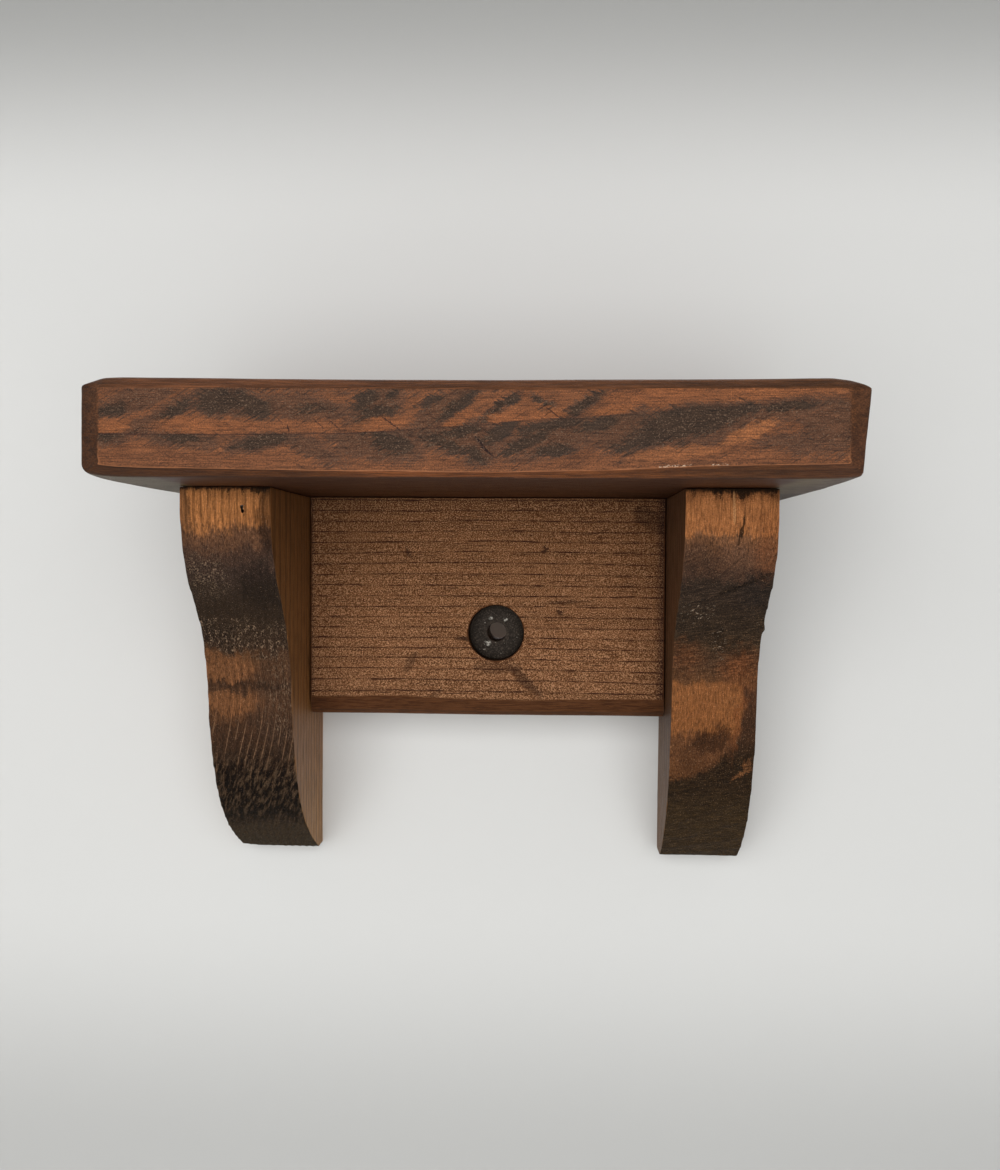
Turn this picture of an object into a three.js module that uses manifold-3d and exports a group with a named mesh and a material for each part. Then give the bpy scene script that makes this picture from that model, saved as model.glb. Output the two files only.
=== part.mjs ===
// A small rustic wall shelf: a thick board on two band-sawn brackets, with a rail between them that is
// screwed to the wall. Millimetres, +Z up, +X along the shelf, +Y into the wall. The wall is the plane
// y = 0, and the origin is the middle of the rail's rear face.
import * as THREE from "three";
import { ConvexGeometry } from "three/addons/geometries/ConvexGeometry.js";
import { mergeVertices } from "three/addons/utils/BufferGeometryUtils.js";
import Module from "manifold-3d";

const wasm = await Module();
wasm.setup();

// Driving dimensions.
const gap = 0.3; // clearance where two pieces meet
const stock = 38; // planed two-inch softwood

const rail = { length: 177.8, height: 109.3, left: -90.7, chamferHeight: 9, chamferDepth: 5 };

const board = {
  length: 305.8,
  depth: 183,
  undersideZ: rail.height / 2 + gap,
  topChamfer: 4,
  bottomChamfer: 5,
  cornerWidth: 9, // cut corners, measured along the front
  cornerDepth: 5, // and back along the ends
  rightEndSlant: 3.5, // the right end is out of square: shorter at the underside
};

const bracket = { thickness: 39.8, depth: 124, easedEdge: 1.2 };

// Each bracket's sawn edge: its narrowest depth from the wall and how far down that is, the foot it
// ends in, its whole height, and how long the curves pull at their ends.
const leftCurve = {
  shoulderDrop: 4,
  waistDepth: 80.3,
  waistDrop: 93.7,
  footDepth: 11,
  height: 182.5,
  shoulderPull: 49,
  waistPullUp: 51,
  waistPullDown: 67,
  footPull: 27.5,
};
const rightCurve = {
  shoulderDrop: 8,
  waistDepth: 73.3,
  waistDrop: 87,
  footDepth: 15.5,
  height: 183,
  shoulderPull: 44.6,
  waistPullUp: 41.5,
  waistPullDown: 38,
  footPull: 46,
};
const waistLean = 0.15; // how much the edge still leans at the waist
const footSlope = 0.55; // how steeply the belly runs down into the foot

const screwHole = { x: 3, z: -12.9, radius: 4.8, recessRadius: 14, recessDepth: 10 };
const washer = { outerRadius: 13.7, innerRadius: 4.8, thickness: 2, edge: 0.35 };

const longNail = { length: 76, shankRadius: 1.45, headRadius: 2, headHeight: 2.6, pointHeight: 4.5 };
const shortNail = { length: 51, shankRadius: 1.15, headRadius: 1.7, headHeight: 2.2, pointHeight: 3.6 };
const setDepth = 2; // nail heads are punched this far below the surface
const nailSides = 12;

const boardTopZ = board.undersideZ + stock;
const bracketTopZ = board.undersideZ - gap;
const leftBracketX = rail.left - gap - bracket.thickness;
const rightBracketX = rail.left + rail.length + gap;

// Finishes.
const finishes = {
  board: { color: 0x70402a, roughness: 0.62, metalness: 0 },
  bracket: { color: 0x6a432b, roughness: 0.7, metalness: 0 },
  rail: { color: 0x8a5a38, roughness: 0.8, metalness: 0 },
  washer: { color: 0x3a3632, roughness: 0.75, metalness: 0.4 },
  nail: { color: 0x77757a, roughness: 0.4, metalness: 0.9 },
};

const shelf = new THREE.Group();

function addMesh(name, geometry, finish) {
  const mesh = new THREE.Mesh(geometry, new THREE.MeshStandardMaterial(finishes[finish]));
  mesh.name = name;
  shelf.add(mesh);
  return mesh;
}

// Boolean cutting: a closed geometry as a solid, and a solid back as a geometry.
function toSolid(geometry) {
  const shared = geometry.clone();
  shared.deleteAttribute("normal");
  shared.deleteAttribute("uv");
  const merged = mergeVertices(shared, 1e-4);
  return new wasm.Manifold(
    new wasm.Mesh({
      numProp: 3,
      vertProperties: new Float32Array(merged.attributes.position.array),
      triVerts: new Uint32Array(merged.index.array),
    }),
  );
}

function toGeometry(solid) {
  const { vertProperties, triVerts } = solid.getMesh();
  const geometry = new THREE.BufferGeometry();
  geometry.setAttribute("position", new THREE.BufferAttribute(vertProperties, 3));
  geometry.setIndex(new THREE.BufferAttribute(triVerts, 1));
  geometry.computeVertexNormals();
  return geometry;
}

function cut(geometry, cutters) {
  return toGeometry(cutters.reduce((solid, cutter) => solid.subtract(toSolid(cutter)), toSolid(geometry)));
}

// The board: its plan outline, drawn in at the top and bottom by the chamfers.
function boardRing(z, inset, slant) {
  const left = -board.length / 2 + inset;
  const right = board.length / 2 - inset - slant;
  const front = -board.depth + inset;
  return [
    new THREE.Vector3(left, 0, z),
    new THREE.Vector3(left, front + board.cornerDepth, z),
    new THREE.Vector3(left + board.cornerWidth, front, z),
    new THREE.Vector3(right - board.cornerWidth, front, z),
    new THREE.Vector3(right, front + board.cornerDepth, z),
    new THREE.Vector3(right, 0, z),
  ];
}

function boardGeometry() {
  const { undersideZ, topChamfer, bottomChamfer, rightEndSlant } = board;
  const slantAt = (z) => (rightEndSlant * (boardTopZ - z)) / stock;
  const rings = [
    [undersideZ, bottomChamfer],
    [undersideZ + bottomChamfer, 0],
    [boardTopZ - topChamfer, 0],
    [boardTopZ, topChamfer],
  ];
  return new ConvexGeometry(rings.flatMap(([z, inset]) => boardRing(z, inset, slantAt(z))));
}

// The rail: a block with its lower front edge planed off.
function railGeometry() {
  const half = rail.height / 2;
  const section = [
    [0, half],
    [-stock, half],
    [-stock, -half + rail.chamferHeight],
    [-stock + rail.chamferDepth, -half],
    [0, -half],
  ];
  const ends = [rail.left, rail.left + rail.length];
  return new ConvexGeometry(ends.flatMap((x) => section.map(([y, z]) => new THREE.Vector3(x, y, z))));
}

// A bracket: the side view of its S-curve, extruded across its thickness. The outline is drawn with
// depth as -x and drop as -y, then turned so that its thickness runs along X.
function bracketGeometry(curve, x) {
  const { shoulderDrop, waistDepth, waistDrop, footDepth, height } = curve;
  const outline = new THREE.Shape();
  outline.moveTo(0, 0);
  outline.lineTo(0, -height);
  outline.lineTo(-footDepth, -height);
  outline.bezierCurveTo(
    -footDepth - curve.footPull,
    -height + curve.footPull * footSlope,
    -waistDepth + waistLean * curve.waistPullDown,
    -waistDrop - curve.waistPullDown,
    -waistDepth,
    -waistDrop,
  );
  outline.bezierCurveTo(
    -waistDepth - waistLean * curve.waistPullUp,
    -waistDrop + curve.waistPullUp,
    -bracket.depth,
    -shoulderDrop - curve.shoulderPull,
    -bracket.depth,
    -shoulderDrop,
  );
  outline.lineTo(-bracket.depth, 0);

  const geometry = new THREE.ExtrudeGeometry(outline, {
    depth: bracket.thickness - 2 * bracket.easedEdge,
    curveSegments: 22,
    bevelThickness: bracket.easedEdge,
    bevelSize: bracket.easedEdge,
    bevelOffset: -bracket.easedEdge,
    bevelSegments: 2,
  });
  geometry.rotateY(Math.PI / 2);
  geometry.rotateX(Math.PI / 2);
  geometry.translate(x + bracket.easedEdge, 0, bracketTopZ);
  return geometry;
}

// A finishing nail hangs point down from the middle of its head, with a punch dimple in the head.
function nailGeometry({ length, shankRadius, headRadius, headHeight, pointHeight }) {
  const dimple = headRadius * 0.35;
  const profile = [
    [0, -length],
    [shankRadius, -length + pointHeight],
    [shankRadius, -headHeight],
    [headRadius, -headHeight * 0.55],
    [headRadius, -0.25],
    [headRadius - 0.25, 0],
    [dimple, 0],
    [0, -dimple],
  ];
  return new THREE.LatheGeometry(profile.map(([r, y]) => new THREE.Vector2(r, y)), nailSides);
}

// The hole that a nail leaves, open above its head.
function nailHoleGeometry({ length, shankRadius, headRadius, headHeight }) {
  const openAbove = 12;
  const profile = [
    [0, -length - gap],
    [shankRadius + gap, -length - gap],
    [shankRadius + gap, -headHeight - gap],
    [headRadius + gap, -headHeight * 0.55 - gap],
    [headRadius + gap, openAbove],
    [0, openAbove],
  ];
  return new THREE.LatheGeometry(profile.map(([r, y]) => new THREE.Vector2(r, y)), nailSides);
}

// Every nail: its name, size, the point on the surface where it goes in, and its direction.
const down = new THREE.Vector3(0, 0, -1);
const middleX = { left: leftBracketX + bracket.thickness / 2, right: rightBracketX + bracket.thickness / 2 };
const outerX = { left: leftBracketX, right: rightBracketX + bracket.thickness };
const inward = { left: new THREE.Vector3(1, 0, 0), right: new THREE.Vector3(-1, 0, 0) };
const shelfNailY = { front: -92, rear: -38 };
const railNailZ = { upper: 30, lower: -32 };

const nails = [];
for (const side of ["left", "right"]) {
  for (const [row, y] of Object.entries(shelfNailY)) {
    const entry = new THREE.Vector3(middleX[side], y, boardTopZ);
    nails.push({ name: `shelf_nail_${side}_${row}`, size: longNail, entry, direction: down });
  }
  for (const [row, z] of Object.entries(railNailZ)) {
    const entry = new THREE.Vector3(outerX[side], -stock / 2, z);
    nails.push({ name: `rail_nail_${side}_${row}`, size: longNail, entry, direction: inward[side] });
  }
}
nails.push({
  name: "left_bracket_toe_nail",
  size: shortNail,
  entry: new THREE.Vector3(-103.3, -bracket.depth, bracketTopZ - 10.6),
  direction: new THREE.Vector3(0, 1, 1).normalize(),
});

const pointsDown = new THREE.Vector3(0, -1, 0);
for (const nail of nails) {
  nail.turn = new THREE.Quaternion().setFromUnitVectors(pointsDown, nail.direction);
  nail.head = nail.entry.clone().addScaledVector(nail.direction, setDepth);
}

function nailHoles(...nameStarts) {
  const wanted = nails.filter(({ name }) => nameStarts.some((start) => name.startsWith(start)));
  return wanted.map(({ size, turn, head }) => {
    const hole = nailHoleGeometry(size).applyQuaternion(turn);
    return hole.translate(head.x, head.y, head.z);
  });
}

// The wall screw's way through the rail: a wide recess in front and a clearance hole behind it.
function screwHoleGeometry() {
  const floor = -stock + screwHole.recessDepth;
  const past = 5;
  const profile = [
    [0, floor - screwHole.recessDepth - past],
    [screwHole.recessRadius, floor - screwHole.recessDepth - past],
    [screwHole.recessRadius, floor],
    [screwHole.radius, floor],
    [screwHole.radius, past],
    [0, past],
  ];
  const hole = new THREE.LatheGeometry(profile.map(([r, y]) => new THREE.Vector2(r, y)), 48);
  return hole.translate(screwHole.x, 0, screwHole.z);
}

// A flat washer with slightly rounded rims, lying on the floor of the recess.
function washerGeometry() {
  const { outerRadius, innerRadius, thickness, edge } = washer;
  const section = [
    [innerRadius, edge],
    [innerRadius + edge, 0],
    [outerRadius - edge, 0],
    [outerRadius, edge],
    [outerRadius, thickness - edge],
    [outerRadius - edge, thickness],
    [innerRadius + edge, thickness],
    [innerRadius, thickness - edge],
    [innerRadius, edge],
  ];
  return new THREE.LatheGeometry(section.map(([r, y]) => new THREE.Vector2(r, y)), 48);
}

addMesh("shelf_board", cut(boardGeometry(), nailHoles("shelf_nail", "left_bracket")), "board");
addMesh(
  "left_bracket",
  cut(
    bracketGeometry(leftCurve, leftBracketX),
    nailHoles("shelf_nail_left", "rail_nail_left", "left_bracket"),
  ),
  "bracket",
);
addMesh(
  "right_bracket",
  cut(bracketGeometry(rightCurve, rightBracketX), nailHoles("shelf_nail_right", "rail_nail_right")),
  "bracket",
);
addMesh("back_rail", cut(railGeometry(), [screwHoleGeometry(), ...nailHoles("rail_nail")]), "rail");

const washerY = -stock + screwHole.recessDepth - gap - washer.thickness;
addMesh("wall_screw_washer", washerGeometry(), "washer").position.set(screwHole.x, washerY, screwHole.z);

for (const { name, size, turn, head } of nails) {
  const nail = addMesh(name, nailGeometry(size), "nail");
  nail.quaternion.copy(turn);
  nail.position.copy(head);
}

export default shelf;
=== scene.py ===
"""A rustic wall shelf in stained softwood: a planed board on two band-sawn brackets, and between them a
rough-sawn rail that takes the wall screw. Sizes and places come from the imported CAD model: metres, +Z up,
the wall at y = 0 and the room on the -Y side."""

import functools
import itertools
import math

import bpy
import numpy as np
from mathutils import Matrix, Vector


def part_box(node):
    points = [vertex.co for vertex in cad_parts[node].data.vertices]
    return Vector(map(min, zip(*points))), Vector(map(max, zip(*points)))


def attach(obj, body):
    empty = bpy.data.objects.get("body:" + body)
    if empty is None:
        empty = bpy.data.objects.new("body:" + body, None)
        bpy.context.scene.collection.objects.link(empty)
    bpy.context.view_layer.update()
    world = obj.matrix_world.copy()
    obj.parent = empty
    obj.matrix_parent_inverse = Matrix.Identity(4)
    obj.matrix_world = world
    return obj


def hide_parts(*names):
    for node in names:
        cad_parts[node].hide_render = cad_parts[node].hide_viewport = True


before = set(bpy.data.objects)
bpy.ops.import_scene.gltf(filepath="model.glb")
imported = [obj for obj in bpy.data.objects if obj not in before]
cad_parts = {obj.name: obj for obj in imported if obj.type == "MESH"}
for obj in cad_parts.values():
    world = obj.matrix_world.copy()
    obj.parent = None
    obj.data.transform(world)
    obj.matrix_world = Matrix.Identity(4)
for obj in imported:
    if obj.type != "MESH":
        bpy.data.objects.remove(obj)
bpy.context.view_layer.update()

MM = 0.001
SCREW_HOLE = 4.8 * MM  # radius of the wall screw's hole through the washer and the rail
X, Y, Z = range(3)
LEFT, RIGHT, FRONT, BACK, BOTTOM, TOP = range(6)  # the sides of a block, in surface_grid's order


# ---- Camera and light ----

def add_camera():
    """Looks at the shelf from the room, a little right of its middle and slightly upwards."""
    place = Vector((30.45, -646.9, 23.9)) * MM
    turn_left, tip_up, roll = 0.042, -0.021, -0.006
    view = Matrix.Rotation(turn_left, 4, "Z") @ Matrix.Rotation(tip_up, 4, "X")
    view = view @ Matrix.Rotation(roll, 4, "Y") @ Matrix.Rotation(math.pi / 2, 4, "X")
    data = bpy.data.cameras.new("camera")
    data.sensor_width = 36
    data.lens = 37.52
    data.clip_start = 0.01
    camera = bpy.data.objects.new("camera", data)
    camera.matrix_world = Matrix.Translation(place) @ view
    bpy.context.scene.collection.objects.link(camera)
    bpy.context.scene.camera = camera


def add_softbox(name, place, aim, size, power):
    data = bpy.data.lights.new(name, "AREA")
    data.shape = "RECTANGLE"
    data.size, data.size_y = size
    data.energy = power
    light = bpy.data.objects.new(name, data)
    light.location = place
    light.rotation_euler = (Vector(aim) - Vector(place)).to_track_quat("-Z", "Y").to_euler()
    bpy.context.scene.collection.objects.link(light)


def add_lights():
    add_softbox("key_softbox", (-0.12, -1.6, 0.12), (0, 0, 0), (1.9, 1.4), 25.5)
    add_softbox("back_softbox", (0, 1.2, 1.5), (0, 0, 0), (1.2, 1.2), 20)
    world = bpy.data.worlds.new("studio")
    world.use_nodes = True
    background = world.node_tree.nodes["Background"]
    background.inputs["Color"].default_value = (1, 1, 1, 1)
    background.inputs["Strength"].default_value = 0.31
    bpy.context.scene.world = world
    bpy.context.scene.view_settings.view_transform = "Standard"


# ---- Noise and rings ----

def hashed(cells, seed):
    """A repeatable number from 0 to 1 for each whole-number point."""
    mixed = cells @ np.array([1619, 31337, 6971]) + seed * 1013
    mixed = (mixed << 13) ^ mixed
    mixed = mixed * (mixed * mixed * 15731 + 789221) + 1376312589
    return (mixed & 0x7FFFFFFF) / 0x7FFFFFFF


def noise(points, seed=0):
    """Smooth noise from -1 to 1, with about one bump per unit."""
    base = np.floor(points).astype(np.int64)
    part = points - base
    part = part * part * (3 - 2 * part)
    total = np.zeros(len(points))
    for corner in itertools.product((0, 1), repeat=3):
        weight = np.prod(np.where(corner, part, 1 - part), axis=1)
        total += weight * hashed(base + corner, seed)
    return 2 * total - 1


def ramp(value, low, high):
    """0 below low, 1 above high, and a smooth rise between them."""
    share = np.clip((value - low) / (high - low), 0, 1)
    return share * share * (3 - 2 * share)


class Timber:
    """A piece of a log: which way its grain runs, where the pith lies beside that, and its ring width."""

    def __init__(self, along, pith, ring_width, waver, seed):
        self.along = along
        self.pith = np.array(pith) * MM
        self.ring_width = ring_width * MM
        self.waver = waver
        self.seed = seed

    def cells(self, size, length):
        """Noise cells `size` mm wide across the grain and `length` mm long along it."""
        cells = [size, size, size]
        cells[self.along] = length
        return cells

    def stretched(self, points, size, length):
        """The points, counted in such cells."""
        return points / (np.array(self.cells(size, length)) * MM)

    def rings(self, points):
        """How many growth rings lie between the pith and each point."""
        across = np.delete(points, self.along, axis=1) - self.pith
        count = np.linalg.norm(across, axis=1) / self.ring_width
        broad = noise(self.stretched(points, 30, 110), self.seed)
        narrow = noise(self.stretched(points, 9, 45), self.seed + 1)
        return count + self.waver * (broad + 0.3 * narrow)

    def latewood(self, points):
        """0 in the soft early part of each ring, rising to 1 in its hard dark edge."""
        part = self.rings(points) % 1.0
        return ramp(part, 0.45, 0.85) * (1 - ramp(part, 0.93, 1.0))


# ---- Meshes ----

def surface_grid(lines):
    """A block's surface cut along three sets of grid lines: its points, its quads facing out, and the
    side that each quad is on."""
    last = [len(line) - 1 for line in lines]
    quads, sides = [], []
    for axis in (X, Y, Z):
        a, b = (axis + 1) % 3, (axis + 2) % 3
        i, j = (part.ravel() for part in np.meshgrid(np.arange(last[a]), np.arange(last[b])))
        for end in (0, 1):
            quad = np.zeros((len(i), 4, 3), int)
            quad[:, :, axis] = end * last[axis]
            for corner, (di, dj) in enumerate(((0, 0), (1, 0), (1, 1), (0, 1))):
                quad[:, corner, a] = i + di
                quad[:, corner, b] = j + dj
            quads.append(quad if end else quad[:, ::-1])
            sides.append(np.full(len(i), 2 * axis + end))
    steps, corners = np.unique(np.concatenate(quads).reshape(-1, 3), axis=0, return_inverse=True)
    points = np.stack([lines[axis][steps[:, axis]] for axis in (X, Y, Z)], axis=1)
    return points, corners.reshape(-1, 4), np.concatenate(sides)


def even_lines(low, high, step):
    return np.linspace(low, high, round((high - low) / step) + 1)


def graded_lines(low, high, fine, coarse, growth=1.12):
    """Grid lines that are `fine` apart at low and widen towards `coarse` at high."""
    steps = [fine]
    while sum(steps) < high - low:
        steps.append(min(steps[-1] * growth, coarse))
    places = np.concatenate([[0], np.cumsum(steps)])
    return low + places * (high - low) / places[-1]


def summed(owners, rows, count):
    """The rows added up for each of `count` points; `owners` says which point each row belongs to."""
    return np.stack([np.bincount(owners, column, count) for column in rows.T], axis=1)


def relaxed(points, quads, rounds):
    """Each point drawn halfway to the middle of its neighbours, which rounds the edges over."""
    pairs = np.concatenate([quads[:, [i, (i + 1) % 4]] for i in range(4)])
    count = np.bincount(pairs[:, 0], minlength=len(points))
    for _ in range(rounds):
        sums = summed(pairs[:, 0], points[pairs[:, 1]], len(points))
        points = (points + sums / count[:, None]) / 2
    return points


def unit(vectors):
    return vectors / np.maximum(np.linalg.norm(vectors, axis=1, keepdims=True), 1e-12)


def face_normals(points, quads):
    a, b, c, d = (points[quads[:, i]] for i in range(4))
    return unit(np.cross(c - a, d - b))


def point_normals(points, quads):
    each = np.repeat(face_normals(points, quads), 4, axis=0)
    return unit(summed(quads.ravel(), each, len(points)))


def plane_off(points, edge, slope, width):
    """Planes away the edge that runs through the point `edge`: points beyond a flat that faces `slope`
    and lies `width` in from the edge, measured square to itself, are pushed back onto it."""
    slope = np.array(slope, float) / np.linalg.norm(slope)
    beyond = (points - edge) @ slope + width
    return points - np.maximum(beyond, 0)[:, None] * slope


def lathe(profile, origin, direction, segments=40, closed=False):
    """Points and faces of the body that a profile of (radius, distance) sweeps around a line."""
    turn = Vector((0, 0, 1)).rotation_difference(Vector(direction)).to_matrix()
    points, rings = [], []
    for radius, distance in profile:
        around = segments if radius > 0 else 1
        rings.append([len(points) + i % around for i in range(segments)])
        for i in range(around):
            angle = 2 * math.pi * i / segments
            local = Vector((radius * math.cos(angle), radius * math.sin(angle), distance))
            points.append(Vector(origin) + turn @ local)
    faces = []
    loop = rings + rings[:1] if closed else rings
    for lower, upper in zip(loop, loop[1:]):
        for i in range(segments):
            j = (i + 1) % segments
            corners = dict.fromkeys((lower[i], lower[j], upper[j], upper[i]))
            faces.append(list(corners))
    return points, faces


def new_object(name, points, faces, materials=()):
    mesh = bpy.data.meshes.new(name)
    mesh.from_pydata([tuple(point) for point in points], [], [tuple(face) for face in faces])
    for material in materials:
        mesh.materials.append(material)
    piece = bpy.data.objects.new(name, mesh)
    bpy.context.scene.collection.objects.link(piece)
    return piece


def bore(piece, bodies):
    """Cuts each (points, faces) body out of the piece, whose last material lines the holes."""
    points, faces = [], []
    for body_points, body_faces in bodies:
        faces += [[len(points) + i for i in face] for face in body_faces]
        points += body_points
    cutter = new_object("cutter", points, faces)
    bored = [len(piece.data.materials) - 1] * len(faces)
    cutter.data.polygons.foreach_set("material_index", bored)
    modifier = piece.modifiers.new("bore", "BOOLEAN")
    modifier.operation = "DIFFERENCE"
    modifier.solver = "EXACT"
    modifier.object = cutter
    whole = piece.data
    evaluated = piece.evaluated_get(bpy.context.evaluated_depsgraph_get())
    piece.data = bpy.data.meshes.new_from_object(evaluated)
    piece.modifiers.clear()
    bpy.data.meshes.remove(whole)
    bpy.data.meshes.remove(cutter.data)


def store(piece, name, values):
    """Keeps one number per point on the mesh, for its material to read."""
    attribute = piece.data.attributes.new(name, "FLOAT", "POINT")
    attribute.data.foreach_set("value", np.asarray(values, np.float32))


def point_array(mesh):
    points = np.empty(len(mesh.vertices) * 3)
    mesh.vertices.foreach_get("co", points)
    return points.reshape(-1, 3)


def finish_piece(piece, node, sharp_angle=50):
    for polygon in piece.data.polygons:
        polygon.use_smooth = True
    piece.data.set_sharp_from_angle(angle=math.radians(sharp_angle))
    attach(piece, "root")
    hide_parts(node)


# ---- Shader graphs ----

class Graph:
    """A new material whose shader nodes are wired together as they are made. `paint` and `shade` change
    its colour, `emboss` adds bumps, and `finish` connects both to the shader. Colours are everyday ones,
    0 to 255, as they look in the light; `sheen` is how much the gloss adds to them."""

    def __init__(self, name, colour=None, specular=0.2, sheen=0.0):
        self.material = bpy.data.materials.new(name)
        self.material.use_nodes = True
        self.tree = self.material.node_tree
        self.shader = self.tree.nodes["Principled BSDF"]
        self.shader.inputs["Specular IOR Level"].default_value = specular
        self.sheen = sheen
        self.colour = self.tone(colour) if colour else None
        self.height = None
        metres = self.add("ShaderNodeTexCoord").outputs["Object"]
        scaled = self.add("ShaderNodeVectorMath", {0: metres, "Scale": 1000}, operation="SCALE")
        self.place = scaled.outputs[0]

    def add(self, kind, inputs=None, **settings):
        """A new node. Each input, by its name or number, takes a value or another node's socket."""
        made = self.tree.nodes.new(kind)
        for key, value in settings.items():
            setattr(made, key, value)
        for key, value in (inputs or {}).items():
            self.put(value, made.inputs[key])
        return made

    def put(self, value, socket):
        if isinstance(value, bpy.types.NodeSocket):
            self.tree.links.new(value, socket)
        else:
            socket.default_value = value

    def tone(self, colour):
        """An everyday colour as a linear one, less the sheen. A socket is passed on as it is."""
        if isinstance(colour, bpy.types.NodeSocket):
            return colour
        shares = [value / 255 for value in colour]
        linear = [c / 12.92 if c <= 0.04045 else ((c + 0.055) / 1.055) ** 2.4 for c in shares]
        return (*(max(c - self.sheen, 0.002) for c in linear), 1)

    def sum(self, operation, *values):
        return self.add("ShaderNodeMath", dict(enumerate(values)), operation=operation).outputs[0]

    def times(self, *values):
        return functools.reduce(functools.partial(self.sum, "MULTIPLY"), values)

    def most(self, *values):
        return functools.reduce(functools.partial(self.sum, "MAXIMUM"), values)

    def split(self, vector):
        return self.add("ShaderNodeSeparateXYZ", {0: vector}).outputs

    def join(self, x, y):
        return self.add("ShaderNodeCombineXYZ", {0: x, 1: y}).outputs[0]

    def within(self, place, **cell):
        """The place as it is measured from a cell with its own Location, Rotation and Scale."""
        return self.add("ShaderNodeMapping", {"Vector": place, **cell}, vector_type="TEXTURE").outputs[0]

    def noise(self, cells, detail=3.0, roughness=0.6, turn=0.0):
        """Noise from about 0.3 to 0.7, in cells of (x, y, z) millimetres turned about Y by `turn`."""
        place = self.within(self.place, Rotation=(0, math.radians(-turn), 0), Scale=cells)
        inputs = {"Vector": place, "Scale": 1.0, "Detail": detail, "Roughness": roughness}
        return self.add("ShaderNodeTexNoise", inputs).outputs[0]

    def ramp(self, value, low, high, strength=1.0, base=0.0):
        """From `base` where value is `low` to `strength` where it is `high`, smoothly."""
        inputs = {"Value": value, "From Min": low, "From Max": high, "To Min": base, "To Max": strength}
        return self.add("ShaderNodeMapRange", inputs, interpolation_type="SMOOTHSTEP").outputs[0]

    def bands(self, value, stops):
        """A smooth run of colours: each stop is (value, colour)."""
        first, last = stops[0][0], stops[-1][0]
        share = self.sum("DIVIDE", self.sum("SUBTRACT", value, first), last - first)
        made = self.add("ShaderNodeValToRGB", {0: share})
        made.color_ramp.interpolation = "EASE"
        elements = made.color_ramp.elements
        while len(elements) < len(stops):
            elements.new(0.5)
        for element, (stop, colour) in zip(elements, stops):
            element.position = (stop - first) / (last - first)
            element.color = self.tone(colour)
        return made.outputs["Color"]

    def ovals(self, flat, places, core=0.75):
        """A mask of soft ovals, each (x, z, half width, half height, tilt in degrees,
        strength). `core` is the share of an oval that is solid. Each is cut from a ball of twice its size,
        which falls from 1 at its middle through 0.5 at the oval's rim to 0."""
        covered = 0.0
        for x, z, half_width, half_height, tilt, strength in places:
            turn, scale = (0, 0, math.radians(tilt)), (2 * half_width, 2 * half_height, 1)
            place = self.within(flat, Location=(x, z, 0), Rotation=turn, Scale=scale)
            ball = self.add("ShaderNodeTexGradient", {0: place}, gradient_type="SPHERICAL")
            mask = self.ramp(ball.outputs["Fac"], core / 2 + 0.025, 1 - core / 2, strength)
            covered = self.most(covered, mask)
        return covered

    def flat(self, across, up, *pushes):
        """A flat place of two numbers, pushed about by (noise, push across, push up) in turn."""
        for value, push_across, push_up in pushes:
            centred = self.sum("SUBTRACT", value, 0.5)
            across = self.sum("MULTIPLY_ADD", centred, push_across, across)
            up = self.sum("MULTIPLY_ADD", centred, push_up, up)
        return self.join(across, up)

    def stored(self, name):
        return self.add("ShaderNodeAttribute", attribute_name=name).outputs["Fac"]

    def offset_from(self, centre):
        """How far right of `centre` and how far above it each place is, in mm."""
        x, _, z = self.split(self.place)
        return self.join(self.sum("SUBTRACT", x, centre.x / MM), self.sum("SUBTRACT", z, centre.z / MM))

    def distance_from(self, centre):
        """How far it is from the line through `centre` that runs straight out of the wall, in mm."""
        length = self.add("ShaderNodeVectorMath", {0: self.offset_from(centre)}, operation="LENGTH")
        return length.outputs["Value"]

    def mixed(self, share, under, over, blend="MIX"):
        inputs = {0: share, 6: under, 7: over}  # its colour sockets come after those for numbers
        return self.add("ShaderNodeMix", inputs, data_type="RGBA", blend_type=blend).outputs[2]

    def paint(self, colour, *shares):
        """Lays a colour over the last where the shares, multiplied together, come to 1."""
        self.colour = self.mixed(self.times(*shares), self.colour, self.tone(colour))

    def shade(self, factor, *shares):
        """Makes the colour so far darker, or lighter if factor is above 1, in the same way."""
        grey = (factor, factor, factor, 1)
        self.colour = self.mixed(self.times(*shares), self.colour, grey, "MULTIPLY")

    def emboss(self, height, depth):
        """Adds bumps: height from 0 to 1 over `depth` millimetres."""
        deep = self.times(height, depth)
        self.height = deep if self.height is None else self.sum("ADD", self.height, deep)

    def finish(self, roughness):
        if self.height is not None:
            bump = self.add("ShaderNodeBump", {"Distance": MM, "Height": self.height})
            self.put(bump.outputs[0], self.shader.inputs["Normal"])
        self.put(self.colour, self.shader.inputs["Base Color"])
        self.put(roughness, self.shader.inputs["Roughness"])
        return self.material


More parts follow.
